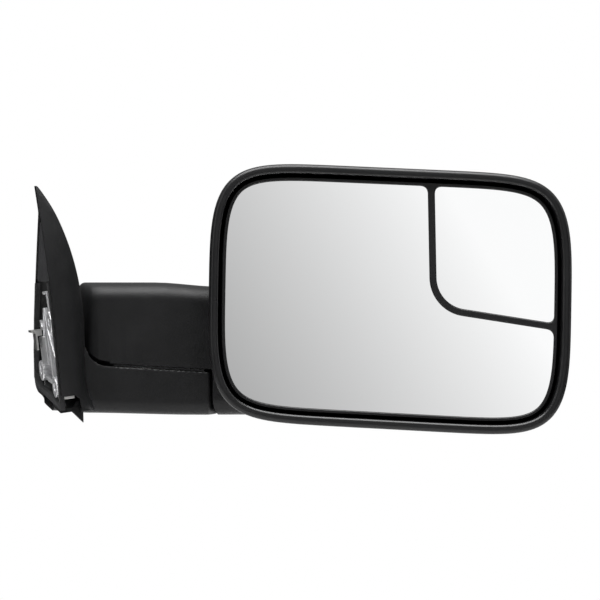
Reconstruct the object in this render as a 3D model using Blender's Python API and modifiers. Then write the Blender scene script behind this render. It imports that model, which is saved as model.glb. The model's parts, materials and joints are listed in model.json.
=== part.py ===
"""Towing mirror for a pickup truck's right-hand door: sail mount, folding arm, rotating head, tilting glass.

Row frame: +Z up, +X away from the door, +Y towards the front of the vehicle. The origin is the centre of the
casting's flat pad on the door plane. Sizes are in millimetres and are scaled by MM where geometry is made.
"""

import math

import bmesh
import bpy
from mathutils import Euler, Matrix, Vector, geometry

MM = 0.001

# ---------------------------------------------------------------- driving sizes, in millimetres
GAP = 0.3                     # clearance between pieces that touch
WALL = 2.6                    # moulded wall of every cover

DOOR_LEAN = 7.0               # degrees that the door plane leans in towards its top
ARM_YAW = -12.0               # degrees that the arm and the head turn towards the driver
SAIL_TOP = 127.0              # height of the sail's tip
SAIL_REAR = -48.0             # rear edge of the sail on the door plane, at its top and bottom
SAIL_BOW = 9.0                # how far that edge bows rearwards between them
SAIL_TIP = 6.0                # length of the sail on the door plane, at its tip
SAIL_BASE = 104.0             # the same at its widest
SAIL_BULGE = 27.6             # how far the sail stands out from the door plane
SAIL_CREST = 0.33             # where along the sail it stands out furthest
SAIL_BELLY = 25.0             # height where it stands out furthest
SAIL_SHOULDER = 107.0         # the front edge starts to run forward below this height
SAIL_FOOT = -48.0             # lowest edge of the sail
SAIL_CORNER = -24.0           # top of the rounding of the front lower corner
SAIL_SOLE = -35.0             # bottom of that rounding
SAIL_LOW = (-42.0, SAIL_SOLE, -31.0, SAIL_CORNER)       # heights of the sections that shape it
SAIL_HIGH = (0.0, 25.0, 50.0, 72.0, 90.0, 105.0, 120.0)
PANEL_FOOT = 54.0             # the sail's inside is closed by a panel above this height
PAD_SIZE = 22.0
WEB_BACK = 10.0               # door plane to the casting's web
WEB = 4.0
RIB = 2.4
HOOK_HEIGHT = 15.0            # height of the locating hook's flange
STUD_BOSS = 8.0               # radius of a boss that takes a door bolt
BOLT_HOLE = 3.2               # radius of the threaded hole for an M8 door bolt
BOLTS = ((-34.0, 22.0), (20.0, -16.0), (-26.0, -28.0))      # y, z on the door plane
COVER_SCREWS = ((-38.0, 4.0), (-26.0, 41.0), (-2.0, 23.0))

FOLD_X = 78.0                 # door plane to the fold axis
ARM_HALF = 29.0               # half the arm's thickness, front to rear
FOLD_RADIUS = 49.0            # the arm's inboard end, about the fold axis
SHELF_RADIUS = 59.5           # the shelf's outboard end, about the fold axis
ARM_TOP = 53.2
ARM_TOP_DROP = 3.2
ARM_EDGE = 14.0               # rounding of the arm's long edges
END_BLEND = 8                 # how tightly the arm's sides turn into its round inboard end
SHELF_FLARE = (5.0, 16.0)     # how far the shelf widens to meet the sail, at its rear and its front
CORNER = 11.0                 # rounding of the arm's lower inboard edge, about the fold axis
SHELF_TOP = -10.2             # at the inboard end
SHELF_SLOPE = -0.062
SHELF_STEPS = 8               # steps across the shelf's top
SHELF_FOOT = -48.0
SOLE_RISE = 13.0              # how far the shelf's front lower edge rises to meet the sail
FOLD_GAP = 2.3                # between the shelf and the arm above it
FLIP_X = 146.0                # fold axis to flip axis
FLIP_RADIUS = 50.0            # the arm's round outboard end
FLIP_GAP = 3.0                # between the arm and the head

HEAD_HALF_X = 137.6           # half width of the head
HEAD_HALF_Z = 98.6
HEAD_POWER_X = 6.86           # superellipse powers of the head's outline
HEAD_POWER_Z = 3.91
HEAD_ROLL = -2.78             # degrees
HEAD_SHEAR = 0.032
HEAD_TAPER = 0.012
HEAD_CENTRE = (40.1, 40.5)    # from the flip axis
HEAD_DEPTH = 68.0             # bezel face to the housing's back
BEZEL_DEPTH = 10.0
BEZEL_LIP = 7.0               # width of the bezel's rounded lip
BACK_INSET = 24.0             # how far the housing draws in towards its back
BACK_CROWN = 12.0             # how far the outboard half of the back bulges
GLASS_SINK = 7.1              # bezel face to the glass
GLASS = 2.2
CARRIER_INSET = 9.8           # head outline to the glass carrier
GLASS_INSET = 12.4            # head outline to the glass
CARRIER = 7.0                 # thickness of the carrier's plate
CARRIER_LIP = 0.6             # the carrier's rim stands this proud of the glass
PAD = 1.4                     # foam pad behind each glass
DIVIDER = 5.2                 # width of the bar between the two glasses
DIVIDER_TOP = (30.4, 110.0)   # the bar's centre line, from the head's centre
DIVIDER_BEND = (32.7, -7.0)
DIVIDER_END = (150.0, -25.3)
DIVIDER_RADIUS = 27.0
GLASS_FILLET = 6.0

TILT_Y = -44.0                # tilt centre, from the housing's back
RING_IN = 16.5                # gimbal ring
RING_OUT = 21.5
RING_HALF = 2.5
GIMBAL_PIN = 1.6

POST = 10.0                   # radius of the fold post
POST_BORE = 6.5
SHAFT = 9.0                   # radius of the flip shaft
SHAFT_BORE = 6.0
DETENT_SINK = 1.4             # how deep the detent's noses sit in its track
DETENT_PLATE = 3.4
NOSES = 3
NOSE = 1.5                    # radius of a nose
SCREW_HEAD = 3.6
SCREW_SHANK = 1.7

RING_POINTS = 40              # points round the head in this model
ROUND = 20                    # sides of a round piece

COLOURS = {
    "textured_plastic": ((0.025, 0.026, 0.028), 0.55, 0.0),
    "bezel_plastic": ((0.02, 0.02, 0.022), 0.35, 0.0),
    "inner_plastic": ((0.05, 0.05, 0.055), 0.5, 0.0),
    "cast_aluminium": ((0.6, 0.6, 0.62), 0.45, 1.0),
    "zinc_steel": ((0.62, 0.62, 0.6), 0.35, 1.0),
    "spring_steel": ((0.25, 0.25, 0.27), 0.35, 1.0),
    "mirror_glass": ((0.9, 0.92, 0.93), 0.02, 1.0),
    "foam_rubber": ((0.03, 0.03, 0.03), 0.9, 0.0),
    "acetal": ((0.7, 0.7, 0.68), 0.4, 0.0),
}


# ---------------------------------------------------------------- scene, frames and materials
def clear_scene():
    for old in list(bpy.data.objects):
        bpy.data.objects.remove(old)


def collection(name):
    made = bpy.data.collections.new(name)
    bpy.context.scene.collection.children.link(made)
    return made


def material(name):
    found = bpy.data.materials.get(name)
    if found:
        return found
    colour, roughness, metallic = COLOURS[name]
    made = bpy.data.materials.new(name)
    made.use_nodes = True
    shader = made.node_tree.nodes["Principled BSDF"]
    shader.inputs["Base Color"].default_value = (*colour, 1.0)
    shader.inputs["Roughness"].default_value = roughness
    shader.inputs["Metallic"].default_value = metallic
    return made


def empty(name, location, rotation=(0, 0, 0), parent=None):
    made = bpy.data.objects.new(name, None)
    PARTS.objects.link(made)
    made.parent = parent
    made.location = Vector(location) * MM
    made.rotation_euler = Euler([math.radians(a) for a in rotation])
    bpy.context.view_layer.update()
    return made


def finish(obj, name, frame, slot):
    """Names the finished piece, gives it its material and hangs it on its frame."""
    obj.name = name
    obj.data.name = name
    obj.data.materials.clear()
    obj.data.materials.append(material(slot))
    obj.parent = frame
    obj.data.shade_smooth()
    obj.data.set_sharp_from_angle(angle=math.radians(35))
    return obj


# ---------------------------------------------------------------- solids, in the frame's own millimetres
def mesh_object(bm, name="piece"):
    bmesh.ops.recalc_face_normals(bm, faces=bm.faces)
    mesh = bpy.data.meshes.new(name)
    bm.to_mesh(mesh)
    bm.free()
    obj = bpy.data.objects.new(name, mesh)
    PARTS.objects.link(obj)
    return obj


AXES = {
    "X": Matrix.Rotation(math.radians(90), 4, "Y"),
    "Y": Matrix.Rotation(math.radians(-90), 4, "X"),
    "Z": Matrix.Identity(4),
}


def rod(radius, low, high, axis="Z", at=(0, 0, 0), sides=ROUND):
    """A cylinder along an axis through a point."""
    bm = bmesh.new()
    bmesh.ops.create_cone(
        bm, cap_ends=True, segments=sides, radius1=radius * MM, radius2=radius * MM, depth=(high - low) * MM
    )
    bmesh.ops.translate(bm, verts=bm.verts, vec=(0, 0, (low + high) / 2 * MM))
    bm.transform(Matrix.Translation(Vector(at) * MM) @ AXES[axis])
    return mesh_object(bm)


def box(low, high, bevel=0.0):
    bm = bmesh.new()
    bmesh.ops.create_cube(bm, size=1.0)
    low, high = Vector(low), Vector(high)
    size = high - low
    bm.transform(
        Matrix.Translation((low + high) / 2 * MM) @ Matrix.Diagonal((*(size * MM), 1.0))
    )
    if bevel:
        bmesh.ops.bevel(bm, geom=bm.edges[:], offset=bevel * MM, segments=2, affect="EDGES", profile=0.5)
    return mesh_object(bm)


def turned(profile, axis="Z", at=(0, 0, 0), sides=ROUND):
    """A profile of (radius, height) points turned about an axis; it is closed unless it starts on the axis."""
    mesh = bpy.data.meshes.new("profile")
    edges = [(i, i + 1) for i in range(len(profile) - 1)]
    if profile[0][0] > 0:
        edges.append((len(profile) - 1, 0))
    mesh.from_pydata([(r * MM, 0, h * MM) for r, h in profile], edges, [])
    obj = bpy.data.objects.new("profile", mesh)
    PARTS.objects.link(obj)
    screw = obj.modifiers.new("turn", "SCREW")
    screw.steps = screw.render_steps = sides
    screw.use_merge_vertices = True
    screw.merge_threshold = 0.00001
    apply(obj)
    bm = bmesh.new()
    bm.from_mesh(obj.data)
    bmesh.ops.recalc_face_normals(bm, faces=bm.faces)
    bm.transform(Matrix.Translation(Vector(at) * MM) @ AXES[axis])
    bm.to_mesh(obj.data)
    bm.free()
    return obj


def plate(outline, low, high, plane="XZ"):
    """A flat outline, extruded from low to high along the plane's normal."""
    curve = bpy.data.curves.new("outline", "CURVE")
    curve.dimensions = "2D"
    curve.fill_mode = "BOTH"
    curve.extrude = (high - low) / 2 * MM
    spline = curve.splines.new("POLY")
    spline.points.add(len(outline) - 1)
    spline.use_cyclic_u = True
    for point, (u, v) in zip(spline.points, outline):
        point.co = (u * MM, v * MM, 0, 1)
    flat = bpy.data.objects.new("outline", curve)
    PARTS.objects.link(flat)
    bpy.context.view_layer.update()
    graph = bpy.context.evaluated_depsgraph_get()
    mesh = bpy.data.meshes.new_from_object(flat.evaluated_get(graph))
    bpy.data.objects.remove(flat)
    middle = (low + high) / 2 * MM
    turns = {
        "XZ": Matrix(((1, 0, 0, 0), (0, 0, -1, middle), (0, 1, 0, 0), (0, 0, 0, 1))),
        "YZ": Matrix(((0, 0, 1, middle), (1, 0, 0, 0), (0, 1, 0, 0), (0, 0, 0, 1))),
        "XY": Matrix.Translation((0, 0, middle)),
    }
    bm = bmesh.new()
    bm.from_mesh(mesh)
    bmesh.ops.remove_doubles(bm, verts=bm.verts, dist=1e-6)
    bm.transform(turns[plane])
    return mesh_object(bm)


def loft(rings):
    """A closed solid through rings of points that match one to one, with flat ends."""
    bm = bmesh.new()
    made = [[bm.verts.new(Vector(p) * MM) for p in ring] for ring in rings]
    count = len(rings[0])
    for a, b in zip(made, made[1:]):
        for i in range(count):
            j = (i + 1) % count
            bm.faces.new((a[i], a[j], b[j], b[i]))
    bm.faces.new(made[0])
    bm.faces.new(made[-1][::-1])
    return mesh_object(bm)


def hoop(rings):
    """A closed ring-shaped solid: the rings are its section's points, each carried round."""
    bm = bmesh.new()
    made = [[bm.verts.new(Vector(p) * MM) for p in ring] for ring in rings]
    count = len(rings[0])
    for a, b in zip(made, made[1:] + made[:1]):
        for i in range(count):
            j = (i + 1) % count
            bm.faces.new((a[i], a[j], b[j], b[i]))
    return mesh_object(bm)


def coil(radius, wire, low, high, turns, axis="Z", at=(0, 0, 0), points=9):
    """A compression spring between two planes."""
    curve = bpy.data.curves.new("coil", "CURVE")
    curve.dimensions = "3D"
    curve.bevel_depth = wire * MM
    curve.bevel_resolution = 2
    curve.use_fill_caps = True
    spline = curve.splines.new("POLY")
    count = int(turns * points)
    spline.points.add(count)
    for i, point in enumerate(spline.points):
        angle = 2 * math.pi * turns * i / count
        height = low + wire + (high - low - 2 * wire) * i / count
        local = Vector((radius * math.cos(angle), radius * math.sin(angle), height)) * MM
        point.co = (*(Matrix.Translation(Vector(at) * MM) @ AXES[axis] @ local), 1)
    wound = bpy.data.objects.new("coil", curve)
    PARTS.objects.link(wound)
    bpy.context.view_layer.update()
    graph = bpy.context.evaluated_depsgraph_get()
    mesh = bpy.data.meshes.new_from_object(wound.evaluated_get(graph))
    bpy.data.objects.remove(wound)
    bm = bmesh.new()
    bm.from_mesh(mesh)
    bmesh.ops.remove_doubles(bm, verts=bm.verts, dist=1e-6)
    return mesh_object(bm)


def apply(obj):
    """Replaces an object's mesh by what its modifiers make of it."""
    bpy.context.view_layer.update()
    graph = bpy.context.evaluated_depsgraph_get()
    mesh = bpy.data.meshes.new_from_object(obj.evaluated_get(graph))
    obj.modifiers.clear()
    obj.data = mesh
    return obj


def combine(obj, tools, operation):
    for tool in tools:
        modifier = obj.modifiers.new("step", "BOOLEAN")
        modifier.operation = operation
        modifier.solver = "EXACT"
        modifier.object = tool
        apply(obj)
        bpy.data.objects.remove(tool)
    return obj


def cut(obj, *tools):
    return combine(obj, tools, "DIFFERENCE")


def join(obj, *tools):
    return combine(obj, tools, "UNION")


def moved(obj, matrix):
    """Carries a solid from another frame's millimetres into this one."""
    obj.data.transform(matrix)
    return obj


def screws(name, places, seat, length, axis, frame):
    """Pan-head screws at (u, v) places: a head on its seat, and a shank of a signed length beyond the seat."""
    back = -1 if length > 0 else 1
    profile = [
        (0, seat + length), (SCREW_SHANK, seat + length), (SCREW_SHANK, seat), (SCREW_HEAD, seat),
        (SCREW_HEAD, seat + back * 1.2), (SCREW_HEAD * 0.6, seat + back * 2.2), (0, seat + back * 2.2),
    ]
    for k, (u, v) in enumerate(places):
        at = (0, u, v) if axis == "X" else (u, 0, v)
        finish(turned(profile, axis, at, 8), f"{name}_{k + 1}", frame, "zinc_steel")


# ---------------------------------------------------------------- outlines
def smooth(value):
    value = max(0.0, min(1.0, value))
    return value * value * (3 - 2 * value)


def dense_head(samples=1440):
    """Points and inward normals of the head's outline, from its centre."""
    roll = math.radians(HEAD_ROLL)
    points = []
    for k in range(samples):
        a = 2 * math.pi * k / samples
        c, s = math.cos(a), math.sin(a)
        u = HEAD_HALF_X * math.copysign(abs(c) ** (2 / HEAD_POWER_X), c)
        w = HEAD_HALF_Z * (1 + HEAD_TAPER * u / HEAD_HALF_X)
        w *= math.copysign(abs(s) ** (2 / HEAD_POWER_Z), s)
        u -= HEAD_SHEAR * w
        points.append(
            Vector((u * math.cos(roll) - w * math.sin(roll), u * math.sin(roll) + w * math.cos(roll)))
        )
    return points


def spread(points, count, corner_weight=90.0):
    """Count points along a closed outline, closer together where it bends, with inward normals."""
    total = len(points)
    sides = [points[(k + 1) % total] - points[k] for k in range(total)]
    measure = [0.0]
    for k in range(total):
        bend = abs(sides[k].angle_signed(sides[(k + 1) % total], 0.0)) if sides[k].length > 1e-9 else 0.0
        measure.append(measure[-1] + sides[k].length + corner_weight * bend)
    made, k = [], 0
    for i in range(count):
        goal = measure[-1] * i / count
        while measure[k + 1] <= goal:
            k += 1
        share = (goal - measure[k]) / (measure[k + 1] - measure[k])
        point = points[k].lerp(points[(k + 1) % total], share)
        along = (points[(k + 4) % total] - points[k - 3]).normalized()
        made.append((point, Vector((-along.y, along.x))))
    return made


def head_ring(inset):
    """The head's outline drawn in by inset, from the flip axis."""
    middle = Vector(HEAD_CENTRE)
    return [tuple(middle + p + n * inset) for p, n in HEAD_SPREAD]


def rounded(points, steps=4):
    """A polygon of (u, v, radius) corners, with each corner rounded by an arc."""
    made = []
    count = len(points)
    for i in range(count):
        here = Vector(points[i][:2])
        before = (Vector(points[i - 1][:2]) - here).normalized()
        after = (Vector(points[(i + 1) % count][:2]) - here).normalized()
        radius = points[i][2]
        if radius <= 0:
            made.append(tuple(here))
            continue
        half = before.angle(after) / 2
        start = here + before * radius / math.tan(half)
        end = here + after * radius / math.tan(half)
        centre = here + (before + after).normalized() * radius / math.sin(half)
        swing = (start - centre).angle_signed(end - centre)
        for k in range(steps + 1):
            turn = Matrix.Rotation(-swing * k / steps, 2)
            made.append(tuple(centre + turn @ (start - centre)))
    return made


def divider_line(offset, steps=8):
    """The divider's edge: its centre line moved by offset, away from the bend's inner side when positive."""
    top, bend, end = Vector(DIVIDER_TOP), Vector(DIVIDER_BEND), Vector(DIVIDER_END)
    down, out = (bend - top).normalized(), (end - bend).normalized()
    half = (-down).angle(out) / 2
    centre = bend + ((-down) + out).normalized() * DIVIDER_RADIUS / math.sin(half)
    left, low = Vector((down.y, -down.x)), Vector((out.y, -out.x))
    radius = DIVIDER_RADIUS + offset
    swing = left.angle_signed(low)
    arc = [centre + Matrix.Rotation(-swing * k / steps, 2) @ left * radius for k in range(steps + 1)]
    return [top + left * offset, *arc, end + low * offset]


def clip(outline, line, outer):
    """The part of a closed outline on one side of a line that crosses it twice, closed along the line.

    Outer keeps what lies outside the divider's bend, and the corners at the two crossings are rounded.
    """
    crossings = []
    count = len(outline)
    for i in range(count):
        a, b = outline[i], outline[(i + 1) % count]
        for j in range(len(line) - 1):
            hit = geometry.intersect_line_line_2d(a, b, line[j], line[j + 1])
            if hit:
                crossings.append((j, i, hit))
    crossings.sort(key=lambda found: found[0])
    (j0, i0, top), (j1, i1, end) = crossings
    chain = [top, *line[j0 + 1:j1 + 1], end]
    if outer:
        rim = [outline[k % count] for k in range(i0 + 1, i1 + 1 + (count if i1 < i0 else 0))]
        made = [top, *rim, end, *chain[-2:0:-1]]
    else:
        rim = [outline[k % count] for k in range(i1 + 1, i0 + 1 + (count if i0 < i1 else 0))]
        made = [end, *rim, top, *chain[1:-1]]
    ends = [0, len(rim) + 1]
    return blunt(made, ends, GLASS_FILLET)


def blunt(points, corners, reach, steps=4):
    """Rounds the listed corners of a closed polygon over a reach along both of its sides."""
    made = []
    count = len(points)
    dropped = set()
    arcs = {}
    for corner in corners:
        tip = points[corner]
        ends = []
        for step in (-1, 1):
            left, k = reach, corner
            while True:
                following = (k + step) % count
                length = (points[following] - points[k]).length
                if length >= left:
                    ends.append(points[k].lerp(points[following], left / length))
                    break
                left -= length
                k = following
                dropped.add(k)
        arcs[corner] = [
            ends[0].lerp(tip, t).lerp(tip.lerp(ends[1], t), t) for t in (s / steps for s in range(steps + 1))
        ]
    for k in range(count):
        if k in arcs:
            made.extend(arcs[k])
        elif k not in dropped:
            made.append(points[k])
    return made


def glass_outlines(grow=0.0):
    """Outlines of the main glass and of the spotter glass, from the flip axis, grown by a clearance."""
    rim = [p + n * (GLASS_INSET - grow) for p, n in HEAD_SPREAD]
    middle = Vector(HEAD_CENTRE)
    main = clip(rim, divider_line(DIVIDER / 2 - grow), True)
    spotter = clip(rim, divider_line(-DIVIDER / 2 + grow), False)
    return [[tuple(middle + p) for p in outline] for outline in (main, spotter)]


# ---------------------------------------------------------------- the sail mount
def sail_rear(height):
    """Rear edge of the sail on the door plane, at a height."""
    share = (height - SAIL_FOOT) / (SAIL_TOP - SAIL_FOOT)
    return SAIL_REAR - SAIL_BOW * 4 * share * (1 - share)


def sail_width(height):
    """Length of the sail on the door plane, at a height."""
    if height > SAIL_SHOULDER:
        return SAIL_TIP
    if height > SAIL_CORNER:
        share = (SAIL_SHOULDER - height) / (SAIL_SHOULDER - SAIL_CORNER)
        return SAIL_TIP + (SAIL_BASE - SAIL_TIP) * (1 - (1 - share) ** 1.4)
    if height > SAIL_SOLE:
        drop = (SAIL_CORNER - height) / (SAIL_CORNER - SAIL_SOLE)
        return SAIL_BASE * (0.8 + 0.2 * math.sqrt(max(1 - drop * drop, 0.0)))
    return SAIL_TIP + (0.8 * SAIL_BASE - SAIL_TIP) * (height - SAIL_FOOT) / (SAIL_SOLE - SAIL_FOOT)


def sail_bulge(height):
    if height < SAIL_BELLY:
        return SAIL_BULGE - 2.0 * smooth((SAIL_BELLY - height) / 45)
    return SAIL_BULGE * (1 - ((height - SAIL_BELLY) / (SAIL_TOP + 2 - SAIL_BELLY)) ** 2) ** 0.9


def sail_profile(along):
    """Share of the bulge reached at a share of the sail's length: a quick rise, a crest and a long fall."""
    if along < SAIL_CREST:
        return math.sin(math.pi / 2 * (along / SAIL_CREST) ** 0.62) ** 0.6
    return (1 - ((along - SAIL_CREST) / (1 - SAIL_CREST)) ** 3) ** 0.7


def sail_skin(y, z):
    """Height of the sail's outer skin over a point of the door plane."""
    return sail_bulge(z) * sail_profile((y - sail_rear(z)) / sail_width(z))


def sail_section(height, inset, steps=11):
    """A D-shaped section of the sail. The inner one runs out through the door plane."""
    level = height - inset if height < SAIL_CORNER + inset else height
    width = max(sail_width(level) - 2 * inset, 1.0)
    bulge = max(sail_bulge(height) - inset, 0.8)
    rear = sail_rear(height) + inset
    base = -5.0 if inset else 0.0
    points = [(base, rear, height)]
    for k in range(steps):
        along = ((k + 0.5) / steps) ** 1.35
        points.append((bulge * sail_profile(along), rear + width * along, height))
    points.append((base, rear + width, height))
    return points


def sail_solid(inset):
    foot = SAIL_FOOT + inset
    tip = SAIL_TOP - 9 * inset
    heights = [foot, *(h + inset for h in SAIL_LOW), *(h for h in SAIL_HIGH if h < tip - 3), tip]
    return loft([sail_section(h, inset) for h in heights])


def corner_rise(x, y, gap):
    """Height of the rounding of the arm's lower inboard edge; the shelf follows it at a gap."""
    radius = CORNER + gap
    over = min(max(math.hypot(x, y) - FOLD_RADIUS + CORNER, 0.0), radius) if x < 0 else 0.0
    return radius - math.sqrt(radius * radius - over * over)


def shelf_section(x, inset):
    """A section of the shelf across the arm, from the arm's frame."""
    reach = SHELF_RADIUS - GAP - inset
    rear, front = (ARM_HALF - inset + flare * smooth((-30 - x) / 40) for flare in SHELF_FLARE)
    if x > 0:
        rear = front = min(rear, math.sqrt(max(reach * reach - x * x, 9.0)))
    level = SHELF_TOP + SHELF_SLOPE * (x + FOLD_RADIUS) - inset
    foot = SHELF_FOOT - 2.0 * smooth((x + 49) / 98) + inset
    low = min(11.0, rear - 0.2)
    start, *tops, end = ((front + (-rear - front) * k / SHELF_STEPS) for k in range(SHELF_STEPS + 1))
    corners = [(-rear, foot, low), (front, foot + SOLE_RISE * smooth((-40 - x) / 30), low), (start, level + corner_rise(x, start, 3.0), 0.0)]
    corners += [(y, level + corner_rise(x, y, 3.0), 0.0) for y in tops]
    corners.append((end, level + corner_rise(x, end, 3.0), 0.0))
    return [(x, y, z) for y, z in rounded(corners, steps=3)]


def shelf_solid(inset):
    end = SHELF_RADIUS - GAP - inset
    tips = [math.sqrt(end * end - h * h) for h in (24.0, 16.0, 8.0)]
    start = ARM_HALF - inset
    corner = math.sqrt(end * end - start * start)
    stations = [inset - 76, -66, -58, -52, -46, -40, -34, -26, 0, corner, *tips, end - 0.1 - inset * 0.05]
    return loft([shelf_section(x, inset) for x in stations])


def sail_cover():
    to_door = DOOR.matrix_world.inverted() @ ARM.matrix_world
    outer = join(sail_solid(0.0), moved(shelf_solid(0.0), to_door))
    cut(outer, sail_solid(WALL), moved(shelf_solid(WALL), to_door))
    heights = (PANEL_FOOT, 72, 90, SAIL_TOP - 26)
    join(outer, plate(panel_outline(WALL - 1, heights), 1.0, 3.0, "YZ"))
    tab = plate([(8, -46), (15, -39), (19, -37), (17, -57)], -38, -35)
    notch = plate([(-10, -34.5), (11, -34.5), (14.5, -38), (15.5, -70), (-10, -70)], -70, -38.5)
    cut(outer, notch)
    join(outer, tab)
    cut(outer, box((-60, -200, -200), (0, 200, 200)), moved(rod(HUB_HOLE, -30, 0), to_door))
    bosses = [
        rod(4.5, WEB_BACK + WEB + GAP, sail_skin(y, z) - WALL / 2, "X", (0, y, z), 12) for y, z in COVER_SCREWS
    ]
    join(outer, *bosses)
    cut(outer, *[
        rod(SCREW_SHANK + GAP, WEB_BACK + 2, WEB_BACK + WEB + 4.2, "X", (0, y, z), 10) for y, z in COVER_SCREWS
    ])
    return finish(outer, "sail_cover", DOOR, "textured_plastic")


def panel_outline(edge, heights):
    """A line down the sail's rear edge and back up its front edge, both drawn in by edge."""
    rear = [(sail_rear(z) + edge, z) for z in reversed(heights)]
    front = [(sail_rear(z) + sail_width(z) - edge, z) for z in heights]
    return rear + front


def sail_gasket():
    """A foam strip inside the sail's open edge, a little proud of the door plane."""
    strip = box((-1.0, -SAIL_BASE, SAIL_FOOT - 10), (2.6, SAIL_BASE, PANEL_FOOT - 1))
    cut(strip, sail_solid(WALL + 4.0))
    combine(strip, [sail_solid(WALL + GAP)], "INTERSECT")
    return finish(strip, "sail_gasket", DOOR, "foam_rubber")


def rib(a, b, low=1.0, high=WEB_BACK + 1):
    """A rib of the casting, from a to b on the door plane."""
    start, end = Vector(a), Vector(b)
    side = (end - start).normalized().orthogonal() * RIB / 2
    return plate([tuple(start + side), tuple(end + side), tuple(end - side), tuple(start - side)], low, high, "YZ")


def base_bracket():
    web = plate(
        rounded([
            (-35, -34, 5), (2, -33, 6), (19, -24, 5), (24, -12, 3), (9, 0, 4), (6, 18, 5), (-10, 40, 6), (-36, 50, 4),
        ]),
        WEB_BACK, WEB_BACK + WEB, "YZ",
    )
    frame = [(-13, 33), (17, -20), (-40, -29), (-37, -8), (-18, 16)]
    ribs = [rib(a, b) for a, b in zip(frame, frame[1:] + frame[:1])]
    ribs += [rib((-14, 24), (-18, -21)), rib((-18, 45), (-31, 45)), rib((-31, 46), (-34, 28))]
    lug = box((0.8, 0, 16), (WEB_BACK + 1, 6, 24))
    bosses = [rod(STUD_BOSS, 0, WEB_BACK + 2, "X", (0, y, z), 18) for y, z in BOLTS]
    half = PAD_SIZE / 2
    pad = box((0, -half, -half), (WEB_BACK + 2, half, half))
    join(web, *ribs, lug, pad, *bosses)
    to_door = DOOR.matrix_world.inverted() @ ARM.matrix_world
    neck = box((-66, -15, -34), (-8, 15, -21))
    hub = rod(DETENT_OUT - 1, -41, BASE_HUB_TOP)
    join(web, moved(neck, to_door), moved(hub, to_door))
    holes = [rod(BOLT_HOLE, -1, WEB_BACK, "X", (0, y, z), 14) for y, z in BOLTS]
    for y, z in COVER_SCREWS:
        holes.append(rod(SCREW_SHANK + GAP, 1, WEB_BACK + WEB + 1, "X", (0, y, z), 10))
        holes.append(rod(SCREW_HEAD + 1.0, -1, WEB_BACK, "X", (0, y, z), 12))
    cut(web, *holes, moved(rod(POST + GAP, -60, 10), to_door))
    return finish(web, "base_bracket", DOOR, "cast_aluminium")


def sail_small_parts():
    screws("sail_screw", COVER_SCREWS, WEB_BACK - GAP, 8.0, "X", DOOR)
    hook = plate(
        [(0.5, 2), (-8, 2), (-8, 0.4), (-4.8, -0.8), (-4.8, -14), (-3.2, -14), (-3.2, -3), (0.5, -3)], 0, 10
    )
    hook.data.transform(Matrix.Translation(Vector((0, 0, HOOK_HEIGHT)) * MM))
    finish(hook, "locating_hook", DOOR, "zinc_steel")
    finish(box((1.0, -40.0, -37.2), (12.0, -32.0, -34.4), 0.6), "lower_bumper", DOOR, "acetal")


# ---------------------------------------------------------------- detents, shared by both pivots
DETENT_OUT = 24.0
HUB_HOLE = DETENT_OUT + 1.3


def detent_ring(bore, face, side, axis, at, name, frame):
    """The fixed plate: an annulus with the noses' track sunk in its face; the cam lies on the given side of it."""
    track = (bore + GAP + DETENT_OUT) / 2
    far = face - side * DETENT_PLATE
    floor = face - side * (DETENT_SINK + GAP)
    near, wide = track - NOSE - GAP, track + NOSE + GAP
    profile = [
        (bore + GAP, far), (DETENT_OUT, far), (DETENT_OUT, face), (wide + 1, face), (wide, floor), (near, floor),
        (near - 1, face), (bore + GAP, face),
    ]
    return finish(turned(profile, axis, at), name, frame, "zinc_steel")


def detent_cam(bore, face, side, axis, at, name, frame):
    """The moving plate: an annulus beyond face on the given side, with noses that reach back into the track."""
    track = (bore + GAP + DETENT_OUT) / 2
    far = face + side * DETENT_PLATE
    plate_low, plate_high = sorted((face, far))
    inner = bore + GAP
    profile = [(inner, plate_low), (DETENT_OUT, plate_low), (DETENT_OUT, plate_high), (inner, plate_high)]
    cam = turned(profile, axis, at)
    for k in range(NOSES):
        angle = 2 * math.pi * (k + 0.25) / NOSES
        u, v = track * math.cos(angle), track * math.sin(angle)
        place = (at[0] + u, at[1] + v, at[2]) if axis == "Z" else (at[0] + u, at[1], at[2] + v)
        tip = face - side * DETENT_SINK
        nose = rod(NOSE, min(tip, far - side), max(tip, far - side), axis, place, 12)
        join(cam, nose)
    return finish(cam, name, frame, "zinc_steel")


# ---------------------------------------------------------------- fold pivot
BASE_HUB_TOP = -20.0
FOLD_RING_LOW = BASE_HUB_TOP + GAP
ARM_HUB_LOW = FOLD_RING_LOW + 2 * (DETENT_PLATE + GAP)
SPRING_SEAT = 6.0
SPRING_TOP = 34.0
FOLD_NUT = 6.0


def fold_seal():
    """A foam liner on the shelf that closes the view through the gap under the arm."""
    half, outboard, inboard = ARM_HALF - 1.2, SHELF_RADIUS - 4.0, FOLD_RADIUS - CORNER - 3.0
    outline = []
    for radius, middle in ((outboard, 0), (inboard, 180)):
        reach = math.degrees(math.asin(half / radius))
        turns = [math.radians(middle + reach * k / 4) for k in range(-4, 5)]
        outline += [(radius * math.cos(a), radius * math.sin(a)) for a in turns]
    rings = [
        [(x, y, SHELF_TOP + SHELF_SLOPE * (x + FOLD_RADIUS) + lift) for x, y in outline] for lift in (GAP, 1.9)
    ]
    liner = cut(loft(rings), rod(HUB_HOLE + GAP, -40, 20))
    finish(liner, "fold_seal", ARM_BASE, "foam_rubber")


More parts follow.
